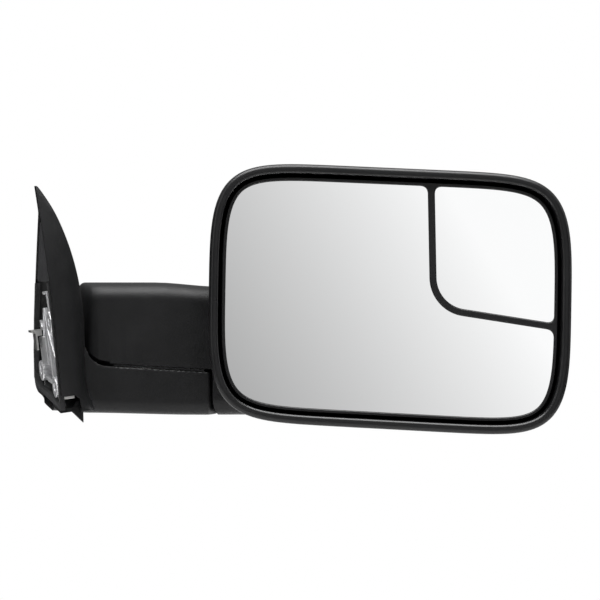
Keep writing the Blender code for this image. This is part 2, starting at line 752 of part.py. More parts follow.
def fold_pivot():
    nut_low = SPRING_TOP + GAP + 2.0 + GAP
    foot = -44.5
    profile = [
        (POST_BORE, foot), (15, foot), (15, foot + 3.2), (POST, foot + 3.2),
        (POST, nut_low + FOLD_NUT + 2), (POST_BORE, nut_low + FOLD_NUT + 2),
    ]
    finish(turned(profile), "fold_post", ARM_BASE, "zinc_steel")
    face = FOLD_RING_LOW + DETENT_PLATE
    detent_ring(POST, face, 1, "Z", (0, 0, 0), "fold_detent_ring", ARM_BASE)
    detent_cam(POST, face + GAP, 1, "Z", (0, 0, 0), "fold_detent_cam", ARM)
    seat = SPRING_TOP + GAP
    washer = turned([(POST + GAP, seat), (18, seat), (18, seat + 2.0), (POST + GAP, seat + 2.0)])
    finish(washer, "fold_washer", ARM_BASE, "zinc_steel")
    nut_top = nut_low + FOLD_NUT
    nut = cut(rod(15, nut_low, nut_top, sides=6), rod(POST + GAP, nut_low - 2, nut_top + 2))
    finish(nut, "fold_nut", ARM_BASE, "zinc_steel")
    low, high = ARM_HUB_LOW + 1, SPRING_SEAT - GAP
    bush = turned([(POST + GAP, low), (POST + 2.2, low), (POST + 2.2, high), (POST + GAP, high)])
    finish(bush, "fold_bush", ARM, "acetal")
    finish(coil(POST + 4.2, 1.9, SPRING_SEAT + GAP, SPRING_TOP, 4.5), "fold_spring", ARM, "spring_steel")


# ---------------------------------------------------------------- arm
FLIP_HUB = 26.0
ARM_SCREWS = ((32.0, 12.0), (70.0, 12.0), (FLIP_X - 36, -20.0), (FLIP_X - 36, 20.0))


def arm_frame():
    hub = rod(20.0, ARM_HUB_LOW, SPRING_TOP)
    beam = box((12, -11, -2), (FLIP_X - 8, 11, 28), 1.5)
    leg = box((SHELF_RADIUS + FOLD_GAP + WALL + 2, -11, -26), (FLIP_X - 8, 11, 4), 1.5)
    flip_hub = rod(FLIP_HUB, -ARM_HALF - FLIP_GAP + 3.6 + GAP, 20, "Y", (FLIP_X, 0, 0))
    bosses = [rod(5.0, 5, ARM_HALF - WALL - GAP, "Y", (x, 0, z), 14) for x, z in ARM_SCREWS]
    join(hub, beam, leg, flip_hub, *bosses)
    bores = [
        rod(POST + 2.2 + GAP, -30, SPRING_SEAT + 1), rod(POST + 7.2, SPRING_SEAT, 60),
        rod(SHAFT + GAP, -60, 40, "Y", (FLIP_X, 0, 0)),
    ]
    pilots = [rod(SCREW_SHANK + GAP, 12, 40, "Y", (x, 0, z), 10) for x, z in ARM_SCREWS]
    return finish(cut(hub, *bores, *pilots), "arm_frame", ARM, "cast_aluminium")


def arm_top(x):
    if x > FLIP_X:
        return math.sqrt(max(FLIP_RADIUS ** 2 - (x - FLIP_X) ** 2, 0.0))
    end = max(-x - FOLD_RADIUS + 5, 0.0)
    rounding = 5 - math.sqrt(max(25 - end * end, 0.0))
    level = FLIP_RADIUS + (ARM_TOP - FLIP_RADIUS) * (1 - smooth((x - 10) / 50))
    return level - rounding


def arm_section(x, inset):
    half = ARM_HALF - inset
    reach = FOLD_RADIUS - inset
    if x < 0:
        round_end = math.sqrt(max(reach * reach - x * x, 1.0))
        half = half * round_end / (half ** END_BLEND + round_end ** END_BLEND) ** (1 / END_BLEND)
    if x > FLIP_X:
        rim = FLIP_RADIUS - inset
        top = math.sqrt(max(rim * rim - (x - FLIP_X) ** 2, 4.0))
        foot = -top
    else:
        top, foot = arm_top(x) - inset, -FLIP_RADIUS + inset
    radius = min(ARM_EDGE - inset * 0.7, half - 0.2, (top - foot) / 2 - 0.2)
    corners = [(-half, foot, radius), (half, foot, radius), (half, top, radius), (-half, top, radius)]
    return [(x, y, z) for y, z in rounded(corners, steps=4)]


def arm_solid(inset):
    inner, outer = FOLD_RADIUS - inset, FLIP_RADIUS - inset
    stations = [-inner + 0.1]
    stations += [-math.sqrt(inner ** 2 - h ** 2) for h in (9.0, 17.0, 24.0, ARM_HALF - inset)]
    stations += [-10, 10, 35, 60, FLIP_X]
    stations += [FLIP_X + outer * math.sin(math.radians(a)) for a in (20, 38, 54, 68, 79)]
    stations.append(FLIP_X + outer - 0.15)
    return loft([arm_section(x, inset) for x in stations])


def shelf_room(grow):
    """The space under the arm that the shelf takes: a disc with a rounded edge, and a run out to the sail."""
    radius = SHELF_RADIUS + FOLD_GAP + grow
    level = SHELF_TOP + FOLD_GAP + grow
    steps = [(-90 + 15 * k) for k in range(13)]
    arc = [(radius * math.cos(math.radians(a)), radius * math.sin(math.radians(a))) for a in steps]
    outline = [*arc, (-80, radius), (-80, -radius)]
    under = loft([
        [(x, y, -80.0) for x, y in outline],
        [(x, y, level + SHELF_SLOPE * (x + FOLD_RADIUS)) for x, y in outline],
    ])
    ring = []
    for k in range(6):
        over = CORNER * math.sin(math.pi / 2 * k / 5)
        ring.append((FOLD_RADIUS - CORNER + over - grow, level + CORNER - math.sqrt(CORNER ** 2 - over ** 2)))
    ring += [(FOLD_RADIUS + 20, level + CORNER), (FOLD_RADIUS + 20, level - 12), (ring[0][0], level - 12)]
    edge = cut(turned(ring), box((0, -100, -100), (100, 100, 100)))
    return join(under, edge)


def arm_cover_shell():
    shell = cut(arm_solid(0.0), shelf_room(0.0))
    cut(shell, cut(arm_solid(WALL), shelf_room(WALL)))
    openings = [
        rod(HUB_HOLE, -30, 5),
        rod(FLIP_HUB + 1.5, -60, 0, "Y", (FLIP_X, 0, 0)),
    ]
    return cut(shell, *openings)


def arm_covers():
    gap = GAP / 2
    rear = cut(arm_cover_shell(), box((-200, -gap, -200), (400, 200, 200)))
    finish(rear, "arm_rear_cover", ARM, "textured_plastic")
    front = cut(arm_cover_shell(), box((-200, -200, -200), (400, gap, 200)))
    cut(front, *[rod(SCREW_SHANK + GAP, 10, 60, "Y", (x, 0, z), 10) for x, z in ARM_SCREWS])
    finish(front, "arm_front_cover", ARM, "textured_plastic")
    screws("arm_screw", ARM_SCREWS, ARM_HALF + GAP, -13.0, "Y", ARM)


# ---------------------------------------------------------------- flip pivot: heights are from the housing's back
FLIP_FACE = -0.1              # face of the arm's detent plate, in the housing's mouth
HEAD_HUB_TOP = FLIP_FACE - 2 * GAP - DETENT_PLATE
FRAME_FACE = -22.0            # front face of the head frame's plate
FRAME = 4.0
FLIP_SPRING_SEAT = -11.0
FLIP_SPRING_END = -31.5
SHAFT_END = -39.6


def flip_pivot():
    back = -ARM_HALF - FLIP_GAP
    at = (FLIP_X, back, 0)
    tail = 20 - back + GAP
    profile = [
        (SHAFT_BORE, SHAFT_END), (SHAFT, SHAFT_END), (SHAFT, tail), (14, tail), (14, tail + 3), (SHAFT_BORE, tail + 3),
    ]
    finish(turned(profile, "Y", at), "flip_shaft", ARM, "zinc_steel")
    detent_ring(SHAFT, FLIP_FACE, -1, "Y", at, "flip_detent_ring", ARM)
    detent_cam(SHAFT, FLIP_FACE - GAP, -1, "Y", (0, 0, 0), "flip_detent_cam", HEAD)
    hub_back = HEAD_HUB_TOP
    bush = [(SHAFT + GAP, FLIP_SPRING_SEAT + GAP), (SHAFT + 1.7, FLIP_SPRING_SEAT + GAP),
            (SHAFT + 1.7, hub_back - 0.4), (SHAFT + GAP, hub_back - 0.4)]
    finish(turned(bush, "Y"), "flip_bush", HEAD, "acetal")
    spring = coil(SHAFT + 3.6, 1.6, FLIP_SPRING_END, FLIP_SPRING_SEAT - GAP, 4.5, "Y", at)
    finish(spring, "flip_spring", ARM, "spring_steel")
    washer_end = FLIP_SPRING_END - GAP
    seat = washer_end - 1.6
    washer = [(SHAFT + GAP, seat), (16, seat), (16, washer_end), (SHAFT + GAP, washer_end)]
    finish(turned(washer, "Y", at), "flip_washer", ARM, "zinc_steel")
    nut_end = seat - GAP
    nut = cut(rod(13.5, nut_end - 5, nut_end, "Y", at, 6), rod(SHAFT + GAP, -60, 0, "Y", at))
    finish(nut, "flip_nut", ARM, "zinc_steel")
    seal = [(30.5, 0.4), (44, 0.4), (44, FLIP_GAP - GAP), (30.5, FLIP_GAP - GAP)]
    finish(turned(seal, "Y", at), "flip_seal", ARM, "foam_rubber")


# ---------------------------------------------------------------- head
HOUSING_FRONT = -HEAD_DEPTH + BEZEL_DEPTH
FRAME_SCREW_SHARES = ((-0.742, 0.04), (0.435, -0.47), (0.508, 0.44), (-0.277, 0.585))
FRAME_CORNERS = (             # across, up and rounding
    (-0.80, -0.71, 12.0), (-0.36, -0.82, 16.0), (0.54, -0.59, 12.0), (0.60, 0.55, 14.0), (-0.35, 0.70, 14.0),
    (-0.81, 0.16, 12.0),
)
WINDOW_CORNERS = ((0.23, -0.43, 6.0), (0.42, -0.25, 6.0), (0.435, 0.30, 6.0), (0.32, 0.40, 6.0))


def housing_inset(depth):
    """How far the housing has drawn in at a depth behind its front edge."""
    share = min(depth / -HOUSING_FRONT, 1.0)
    return 1.0 + (BACK_INSET - 1.0) * (1 - math.sqrt(max(1 - share ** 2.3, 0.0)))


def crown(x, z):
    """Extra depth of the housing's back on the side that never passes the arm."""
    across = smooth((x - 62) / 70) * smooth((HEAD_CENTRE[0] + HEAD_HALF_X - 18 - x) / 50)
    low, high = HEAD_CENTRE[1] - HEAD_HALF_Z + 18, HEAD_CENTRE[1] + HEAD_HALF_Z - 18
    return BACK_CROWN * across * smooth((z - low) / 60) * smooth((high - z) / 60)


def housing_solid(inset, front):
    depth = -HOUSING_FRONT
    back = -inset
    rings = []
    shares = (0.0, 0.35, 0.6, 0.8, 0.93, 1.0)
    for share in shares:
        draw = housing_inset(depth * share) + inset
        y = HOUSING_FRONT + (depth - inset) * share
        if share == 0.0:
            y = front
        rings.append([(x, y, z) for x, z in head_ring(draw)])
    edge = head_ring(BACK_INSET + inset)
    middle = Vector(HEAD_CENTRE)
    for scale in (0.84, 0.6, 0.3):
        ring = []
        for x, z in edge:
            point = middle + (Vector((x, z)) - middle) * scale
            ring.append((point.x, back + crown(point.x, point.y), point.y))
        rings.append(ring)
    return loft(rings)


def head_housing():
    shell = housing_solid(0.0, HOUSING_FRONT)
    cut(shell, housing_solid(WALL, HOUSING_FRONT - 3))
    bosses = [
        rod(5.0, FRAME_FACE + FRAME + GAP, crown(x, z) - WALL / 2, "Y", (x, 0, z), 12) for x, z in frame_screws()
    ]
    join(shell, *bosses)
    pilots = [rod(SCREW_SHANK + GAP, FRAME_FACE, -6, "Y", (x, 0, z), 10) for x, z in frame_screws()]
    cut(shell, rod(DETENT_OUT + 2.0, -10, 10, "Y"), *pilots)
    return finish(shell, "head_housing", HEAD, "textured_plastic")


def head_bezel():
    """The rim: a rounded lip, an inner wall down beside the glass, and a step that seats on the housing."""
    face, seat, lip = -HEAD_DEPTH, HOUSING_FRONT - GAP, BEZEL_LIP
    section = [
        (0.0, seat), (0.0, face + 4.0), (0.7, face + 1.6), (2.4, face), (4.6, face), (5.9, face + 1.2),
        (lip - 0.2, face + 4.0), (lip, face + 9.0), (lip + 0.2, HOUSING_FRONT + 2.5),
        (5.0, HOUSING_FRONT + 2.5), (4.2, seat),
    ]
    rings = [[(x, y, z) for x, z in head_ring(inset)] for inset, y in section]
    return finish(hoop(rings), "head_bezel", HEAD, "bezel_plastic")


def in_head(across, up):
    """A point of the head, from the flip axis, given as shares of its half width and half height."""
    return HEAD_CENTRE[0] + across * HEAD_HALF_X, HEAD_CENTRE[1] + up * HEAD_HALF_Z


def frame_screws():
    return [in_head(across, up) for across, up in FRAME_SCREW_SHARES]


def head_frame():
    outline = rounded([(*in_head(across, up), radius) for across, up, radius in FRAME_CORNERS])
    body = plate(outline, FRAME_FACE, FRAME_FACE + FRAME)
    corners = rounded([(*in_head(across, up), radius) for across, up, radius in WINDOW_CORNERS])
    window = plate(corners, FRAME_FACE - 1, FRAME_FACE + FRAME + 1)
    join(body, rod(DETENT_OUT - 1, FRAME_FACE + 1, HEAD_HUB_TOP, "Y"))
    bores = [rod(SHAFT + 2.0, -60, 10, "Y"), rod(SHAFT + 6.2, -60, FLIP_SPRING_SEAT, "Y"), window]
    pilots = [rod(SCREW_SHANK + GAP, -40, 0, "Y", (x, 0, z), 10) for x, z in frame_screws()]
    pilots += [rod(SCREW_SHANK + GAP, -40, 0, "Y", (x, 0, z), 10) for x, z in ADJUSTER_SCREWS]
    return finish(cut(body, *bores, *pilots), "head_frame", HEAD, "inner_plastic")


ADJUSTER_FACE = FRAME_FACE - GAP - 3.4
ADJUSTER_SCREWS = tuple(
    (HEAD_CENTRE[0] + 31 * math.cos(math.radians(a)), HEAD_CENTRE[1] + 31 * math.sin(math.radians(a)))
    for a in (45, 135, 225, 315)
)


def head_fasteners():
    screws("housing_screw", frame_screws(), FRAME_FACE - GAP, 12.0, "Y", HEAD)
    screws("adjuster_screw", ADJUSTER_SCREWS, ADJUSTER_FACE - GAP, 6.5, "Y", HEAD)


# ---------------------------------------------------------------- glass adjuster, from the tilt centre
EAR_IN = RING_OUT + 3.0
EAR = 5.0


def adjuster():
    face = ADJUSTER_FACE - TILT_Y
    base = rod(38.0, face, face + 3.4, "Y")
    ears = []
    for side in (-1, 1):
        near, far = sorted((side * EAR_IN, side * (EAR_IN + EAR)))
        ears.append(box((near, -3.6, -6), (far, face + 1, 6)))
    join(base, *ears)
    pin_bores = [rod(GIMBAL_PIN + GAP, -60, 60, "X", sides=12)]
    holes = [rod(SCREW_SHANK + GAP, 0, 60, "Y", (x - HEAD_CENTRE[0], 0, z - HEAD_CENTRE[1]), 10)
             for x, z in ADJUSTER_SCREWS]
    finish(cut(base, *pin_bores, *holes), "adjuster_base", TILT, "inner_plastic")
    section = [(RING_IN, -RING_HALF), (RING_OUT, -RING_HALF), (RING_OUT, RING_HALF), (RING_IN, RING_HALF)]
    ring = turned(section, "Y")
    root, reach, inner_reach = RING_IN + 1, EAR_IN + EAR, 8
    join(
        ring,
        rod(GIMBAL_PIN, root, reach, "X", sides=12), rod(GIMBAL_PIN, -reach, -root, "X", sides=12),
        rod(GIMBAL_PIN, inner_reach, root, "Z", sides=12), rod(GIMBAL_PIN, -root, -inner_reach, "Z", sides=12),
    )
    finish(ring, "gimbal_ring", TILT, "zinc_steel")


CARRIER_FRONT = -HEAD_DEPTH + GLASS_SINK - CARRIER_LIP
CARRIER_BACK = CARRIER_FRONT + CARRIER


def glass_assembly():
    body = plate(head_ring(CARRIER_INSET), CARRIER_FRONT, CARRIER_BACK)
    floor = CARRIER_FRONT + CARRIER_LIP + GLASS + GAP + PAD + GAP
    for pocket in glass_outlines(GAP):
        cut(body, plate(pocket, CARRIER_FRONT - 3, floor))
    finish(body, "glass_carrier", HEAD, "bezel_plastic")
    front = CARRIER_FRONT + CARRIER_LIP
    pad_front = front + GLASS + GAP
    for name, outline in zip(("main", "spotter"), glass_outlines()):
        finish(plate(outline, front, front + GLASS), f"{name}_glass", HEAD, "mirror_glass")
        finish(plate(outline, pad_front, pad_front + PAD), f"{name}_glass_pad", HEAD, "foam_rubber")
    hub_front = CARRIER_BACK + GAP - TILT_Y
    hub = turned([(0, hub_front), (20, hub_front), (20, hub_front + 2.2), (13, hub_front + 2.2),
                  (13, 3.2), (0, 3.2)], "Y")
    cut(hub, rod(GIMBAL_PIN + GAP, -60, 60, "Z", sides=12))
    finish(hub, "carrier_hub", TILT, "inner_plastic")


# ---------------------------------------------------------------- build
clear_scene()
PARTS = collection("towing_mirror")
HEAD_SPREAD = spread(dense_head(), RING_POINTS)
DOOR = empty("door_frame", (0, 0, 0), (0, -DOOR_LEAN, 0))
ARM_BASE = empty("shelf_frame", (FOLD_X, 0, 0), (0, 0, ARM_YAW))
ARM = empty("arm_fold_axis", (FOLD_X, 0, 0), (0, 0, ARM_YAW))
HEAD = empty("head_flip_axis", (FLIP_X, -ARM_HALF - FLIP_GAP, 0), parent=ARM)
TILT = empty("glass_tilt_axes", (HEAD_CENTRE[0], TILT_Y, HEAD_CENTRE[1]), parent=HEAD)

sail_cover()
sail_gasket()
base_bracket()
sail_small_parts()
fold_seal()
fold_pivot()
arm_frame()
arm_covers()
flip_pivot()
head_housing()
head_bezel()
head_frame()
head_fasteners()
adjuster()
glass_assembly()
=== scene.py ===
"""Looks of the towing mirror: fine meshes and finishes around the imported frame.

The row frame is +X away from the door, +Y to the front of the vehicle, +Z up. Local sizes are in millimetres.
"""

import json
import math

import bmesh
import bpy
from mathutils import Matrix, Vector, geometry


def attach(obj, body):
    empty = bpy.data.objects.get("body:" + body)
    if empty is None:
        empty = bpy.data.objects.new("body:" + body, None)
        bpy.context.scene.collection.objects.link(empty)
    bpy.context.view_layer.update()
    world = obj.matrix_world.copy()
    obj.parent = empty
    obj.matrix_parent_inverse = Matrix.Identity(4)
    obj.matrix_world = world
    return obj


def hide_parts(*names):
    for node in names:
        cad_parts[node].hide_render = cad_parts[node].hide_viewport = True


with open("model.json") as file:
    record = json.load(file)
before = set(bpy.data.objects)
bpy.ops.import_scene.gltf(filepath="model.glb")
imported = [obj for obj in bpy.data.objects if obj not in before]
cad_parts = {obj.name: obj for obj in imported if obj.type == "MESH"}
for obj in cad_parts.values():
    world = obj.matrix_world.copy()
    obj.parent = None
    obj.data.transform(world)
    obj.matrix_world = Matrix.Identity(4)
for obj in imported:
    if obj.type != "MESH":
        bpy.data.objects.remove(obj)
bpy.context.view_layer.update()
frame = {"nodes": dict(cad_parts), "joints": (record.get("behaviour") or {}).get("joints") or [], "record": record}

MM = 0.001
JOINTS = {joint["name"]: joint for joint in frame["joints"]}
NODES = frame["nodes"]

# ---------------------------------------------------------------- sizes shared with the frame, in millimetres
DOOR_LEAN = 7.0
WALL = 2.6
SAIL_TOP = 127.0
SAIL_REAR = -48.0
SAIL_BOW = 9.0
SAIL_TIP = 6.0
SAIL_BASE = 104.0
SAIL_BULGE = 27.6
SAIL_CREST = 0.33
SAIL_BELLY = 25.0
SAIL_SHOULDER = 107.0
SAIL_FOOT = -48.0
SAIL_CORNER = -24.0
SAIL_SOLE = -35.0
PANEL_FOOT = 54.0
ARM_HALF = 29.0
FOLD_RADIUS = 49.0
SHELF_RADIUS = 59.5
CORNER = 11.0
ARM_TOP = 53.2
ARM_EDGE = 14.0
END_BLEND = 8
SHELF_TOP = -10.2
SHELF_SLOPE = -0.062
SHELF_FOOT = -48.0
SOLE_RISE = 13.0
SHELF_FLARE = (5.0, 16.0)
SHELF_GAP = 0.3
FOLD_GAP = 2.3
FLIP_X = 146.0
FLIP_RADIUS = 50.0
HEAD_HALF_X = 137.6
HEAD_HALF_Z = 98.6
HEAD_POWER_X = 6.86
HEAD_POWER_Z = 3.91
HEAD_ROLL = -2.78
HEAD_SHEAR = 0.032
HEAD_TAPER = 0.012
HEAD_CENTRE = (40.1, 40.5)
HEAD_DEPTH = 68.0
BEZEL_DEPTH = 10.0
BACK_INSET = 24.0
BACK_CROWN = 12.0
GLASS_SINK = 7.1
GLASS = 2.2
CARRIER_INSET = 9.8
CARRIER_LIP = 0.6
CARRIER = 7.0
GLASS_INSET = 12.4
DIVIDER = 5.2
DIVIDER_TOP = (30.4, 110.0)
DIVIDER_BEND = (32.7, -7.0)
DIVIDER_END = (150.0, -25.3)
DIVIDER_RADIUS = 27.0
GLASS_FILLET = 6.0
FOLD_HUB_HOLE = 25.3
FLIP_HUB_HOLE = 27.5
HOUSING_HOLE = 26.0
SEAM = 0.2
POCKET_GAP = 0.25

RING_POINTS = 176
SKIN_VOXEL = 0.9
CASTING_VOXEL = 0.5

# ---------------------------------------------------------------- the picture, in metres and degrees
CAMERA_AZIMUTH = -16.5
CAMERA_DISTANCE = 2.1
CAMERA_AIM = (120.0, -60.0, 39.5)
FRAME_WIDTH = 0.4595
SENSOR_WIDTH = 36.0
FLOOR_LEVEL = -0.42
FLOOR_RADIUS = 1.3


# ---------------------------------------------------------------- frames
def local_frame(origin, x_axis, y_axis):
    x_axis, y_axis = Vector(x_axis).normalized(), Vector(y_axis).normalized()
    z_axis = x_axis.cross(y_axis)
    turn = Matrix((x_axis, y_axis, z_axis)).transposed().to_4x4()
    return Matrix.Translation(origin) @ turn @ Matrix.Scale(MM, 4)


ARM_Y = -Vector(JOINTS["head_flip"]["axis"])
ARM_X = ARM_Y.cross(Vector((0, 0, 1)))
ARM = local_frame(JOINTS["arm_fold"]["pos_m"], ARM_X, ARM_Y)
HEAD = local_frame(JOINTS["head_flip"]["pos_m"], ARM_X, ARM_Y)
LEAN = math.radians(DOOR_LEAN)
DOOR = local_frame((0, 0, 0), (math.cos(LEAN), 0, math.sin(LEAN)), (0, 1, 0))


# ---------------------------------------------------------------- mesh helpers
def from_bmesh(bm, name):
    bmesh.ops.recalc_face_normals(bm, faces=bm.faces)
    mesh = bpy.data.meshes.new(name)
    bm.to_mesh(mesh)
    bm.free()
    obj = bpy.data.objects.new(name, mesh)
    bpy.context.scene.collection.objects.link(obj)
    return obj


def loft(rings, name="loft", closed_ends=True):
    """A surface through matching rings; with closed ends it is a solid."""
    bm = bmesh.new()
    made = [[bm.verts.new(p) for p in ring] for ring in rings]
    count = len(rings[0])
    for a, b in zip(made, made[1:]):
        for i in range(count):
            j = (i + 1) % count
            bm.faces.new((a[i], a[j], b[j], b[i]))
    if closed_ends:
        bm.faces.new(made[0])
        bm.faces.new(made[-1][::-1])
    return from_bmesh(bm, name)


def hoop(rings, name="hoop"):
    """A ring-shaped solid: each ring is one point of its section, carried round."""
    bm = bmesh.new()
    made = [[bm.verts.new(p) for p in ring] for ring in rings]
    count = len(rings[0])
    for a, b in zip(made, made[1:] + made[:1]):
        for i in range(count):
            j = (i + 1) % count
            bm.faces.new((a[i], a[j], b[j], b[i]))
    return from_bmesh(bm, name)


def plate(outline, low, high, name="plate"):
    """An (x, z) outline as a solid between two depths y."""
    return loft([[(x, low, z) for x, z in outline], [(x, high, z) for x, z in outline]], name)


def rod(radius, low, high, axis="Y", at=(0, 0, 0), sides=64):
    bm = bmesh.new()
    bmesh.ops.create_cone(bm, cap_ends=True, segments=sides, radius1=radius, radius2=radius, depth=high - low)
    bmesh.ops.translate(bm, verts=bm.verts, vec=(0, 0, (low + high) / 2))
    turn = {"Y": Matrix.Rotation(math.radians(-90), 4, "X"), "X": Matrix.Rotation(math.radians(90), 4, "Y")}
    bm.transform(Matrix.Translation(at) @ turn.get(axis, Matrix.Identity(4)))
    return from_bmesh(bm, "rod")


def block(low, high):
    bm = bmesh.new()
    bmesh.ops.create_cube(bm, size=1.0)
    low, high = Vector(low), Vector(high)
    bm.transform(Matrix.Translation((low + high) / 2) @ Matrix.Diagonal((*(high - low), 1.0)))
    return from_bmesh(bm, "block")


def apply(obj):
    bpy.context.view_layer.update()
    graph = bpy.context.evaluated_depsgraph_get()
    mesh = bpy.data.meshes.new_from_object(obj.evaluated_get(graph))
    obj.modifiers.clear()
    obj.data = mesh
    return obj


def combine(obj, tools, operation):
    for tool in tools:
        step = obj.modifiers.new("step", "BOOLEAN")
        step.operation = operation
        step.solver = "EXACT"
        step.object = tool
        apply(obj)
        bpy.data.objects.remove(tool)
    return obj


def cut(obj, *tools):
    return combine(obj, tools, "DIFFERENCE")


def join(obj, *tools):
    return combine(obj, tools, "UNION")


def soften(obj, width, segments=2, angle=32):
    """Rounds the sharp edges of a finished shape."""
    step = obj.modifiers.new("soften", "BEVEL")
    step.width = width
    step.segments = segments
    step.limit_method = "ANGLE"
    step.angle_limit = math.radians(angle)
    step.harden_normals = False
    step.use_clamp_overlap = True
    return apply(obj)


def remesh(obj, voxel, rounds):
    """Rebuilds a shape as an even skin and relaxes it, so its inner corners fill and its edges round off."""
    step = obj.modifiers.new("remesh", "REMESH")
    step.mode = "VOXEL"
    step.voxel_size = voxel
    relax = obj.modifiers.new("relax", "SMOOTH")
    relax.factor = 0.5
    relax.iterations = rounds
    return apply(obj)


def place(obj, name, matrix, body, slot, material, *replaced, sharp=38):
    """Puts a finished shape into the row frame, on its body, with its finish."""
    obj.name = name
    obj.data.name = name
    obj.data.transform(matrix)
    obj.data.materials.clear()
    obj.data.materials.append(material)
    obj.data.shade_smooth()
    obj.data.set_sharp_from_angle(angle=math.radians(sharp))
    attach(obj, body)
    if replaced:
        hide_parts(*replaced)
    return obj


def flatten(obj, area=0.00005):
    """Large faces keep their own flat normal, so what they reflect stays straight."""
    for face in obj.data.polygons:
        if face.area > area:
            face.use_smooth = False


# ---------------------------------------------------------------- outlines
def smooth(value):
    value = max(0.0, min(1.0, value))
    return value * value * (3 - 2 * value)


def dense_head(samples=2880):
    roll = math.radians(HEAD_ROLL)
    points = []
    for k in range(samples):
        angle = 2 * math.pi * k / samples
        c, s = math.cos(angle), math.sin(angle)
        u = HEAD_HALF_X * math.copysign(abs(c) ** (2 / HEAD_POWER_X), c)
        w = HEAD_HALF_Z * (1 + HEAD_TAPER * u / HEAD_HALF_X)
        w *= math.copysign(abs(s) ** (2 / HEAD_POWER_Z), s)
        u -= HEAD_SHEAR * w
        points.append(
            Vector((u * math.cos(roll) - w * math.sin(roll), u * math.sin(roll) + w * math.cos(roll)))
        )
    return points


def spread(points, count, corner_weight=90.0):
    """Count points along a closed outline, closer together where it bends, with inward normals."""
    total = len(points)
    sides = [points[(k + 1) % total] - points[k] for k in range(total)]
    measure = [0.0]
    for k in range(total):
        bend = abs(sides[k].angle_signed(sides[(k + 1) % total], 0.0))
        measure.append(measure[-1] + sides[k].length + corner_weight * bend)
    made, k = [], 0
    for i in range(count):
        goal = measure[-1] * i / count
        while measure[k + 1] <= goal:
            k += 1
        share = (goal - measure[k]) / (measure[k + 1] - measure[k])
        point = points[k].lerp(points[(k + 1) % total], share)
        along = (points[(k + 7) % total] - points[k - 6]).normalized()
        made.append((point, Vector((-along.y, along.x))))
    return made


HEAD_SPREAD = spread(dense_head(), RING_POINTS)


def head_ring(inset):
    middle = Vector(HEAD_CENTRE)
    return [tuple(middle + p + n * inset) for p, n in HEAD_SPREAD]


def rounded(points, steps=10):
    """A polygon of (u, v, radius) corners, with each corner rounded by an arc."""
    made = []
    count = len(points)
    for i in range(count):
        here = Vector(points[i][:2])
        before = (Vector(points[i - 1][:2]) - here).normalized()
        after = (Vector(points[(i + 1) % count][:2]) - here).normalized()
        radius = points[i][2]
        if radius <= 0:
            made.append(tuple(here))
            continue
        half = before.angle(after) / 2
        start = here + before * radius / math.tan(half)
        end = here + after * radius / math.tan(half)
        centre = here + (before + after).normalized() * radius / math.sin(half)
        swing = (start - centre).angle_signed(end - centre)
        for k in range(steps + 1):
            made.append(tuple(centre + Matrix.Rotation(-swing * k / steps, 2) @ (start - centre)))
    return made


def divider_line(offset, steps=24):
    """The divider's edge: its centre line moved by offset, away from the bend's inner side when positive."""
    top, bend, end = Vector(DIVIDER_TOP), Vector(DIVIDER_BEND), Vector(DIVIDER_END)
    down, out = (bend - top).normalized(), (end - bend).normalized()
    half = (-down).angle(out) / 2
    centre = bend + ((-down) + out).normalized() * DIVIDER_RADIUS / math.sin(half)
    left, low = Vector((down.y, -down.x)), Vector((out.y, -out.x))
    radius = DIVIDER_RADIUS + offset
    swing = left.angle_signed(low)
    arc = [centre + Matrix.Rotation(-swing * k / steps, 2) @ left * radius for k in range(steps + 1)]
    return [top + left * offset, *arc, end + low * offset]


def clip(outline, line, outer):
    """The part of a closed outline on one side of a line across it, with both new corners rounded."""
    crossings = []
    count = len(outline)
    for i in range(count):
        a, b = outline[i], outline[(i + 1) % count]
        for j in range(len(line) - 1):
            hit = geometry.intersect_line_line_2d(a, b, line[j], line[j + 1])
            if hit:
                crossings.append((j, i, hit))
    crossings.sort(key=lambda found: found[0])
    (j0, i0, top), (j1, i1, end) = crossings
    chain = [top, *line[j0 + 1:j1 + 1], end]
    if outer:
        rim = [outline[k % count] for k in range(i0 + 1, i1 + 1 + (count if i1 < i0 else 0))]
        made = [top, *rim, end, *chain[-2:0:-1]]
    else:
        rim = [outline[k % count] for k in range(i1 + 1, i0 + 1 + (count if i0 < i1 else 0))]
        made = [end, *rim, top, *chain[1:-1]]
    return blunt(made, [0, len(rim) + 1], GLASS_FILLET)


def blunt(points, corners, reach, steps=9):
    """Rounds the listed corners of a closed polygon over a reach along both of its sides."""
    made, dropped, arcs = [], set(), {}
    count = len(points)
    for corner in corners:
        tip = points[corner]
        ends = []
        for step in (-1, 1):
            left, k = reach, corner
            while True:
                following = (k + step) % count
                length = (points[following] - points[k]).length
                if length >= left:
                    ends.append(points[k].lerp(points[following], left / length))
                    break
                left -= length
                k = following
                dropped.add(k)
        arcs[corner] = [
            ends[0].lerp(tip, t).lerp(tip.lerp(ends[1], t), t) for t in (s / steps for s in range(steps + 1))
        ]
    for k in range(count):
        if k in arcs:
            made.extend(arcs[k])
        elif k not in dropped:
            made.append(points[k])
    return made


def glass_outlines(grow=0.0):
    """Outlines of the main glass and of the spotter glass, grown by a clearance."""
    rim = [p + n * (GLASS_INSET - grow) for p, n in HEAD_SPREAD]
    middle = Vector(HEAD_CENTRE)
    main = clip(rim, divider_line(DIVIDER / 2 - grow), True)
    spotter = clip(rim, divider_line(-DIVIDER / 2 + grow), False)
    return [[tuple(middle + p) for p in outline] for outline in (main, spotter)]


# ---------------------------------------------------------------- finishes
def new_material(name):
    made = bpy.data.materials.new(name)
    made.use_nodes = True
    tree = made.node_tree
    return made, tree, tree.nodes["Principled BSDF"]


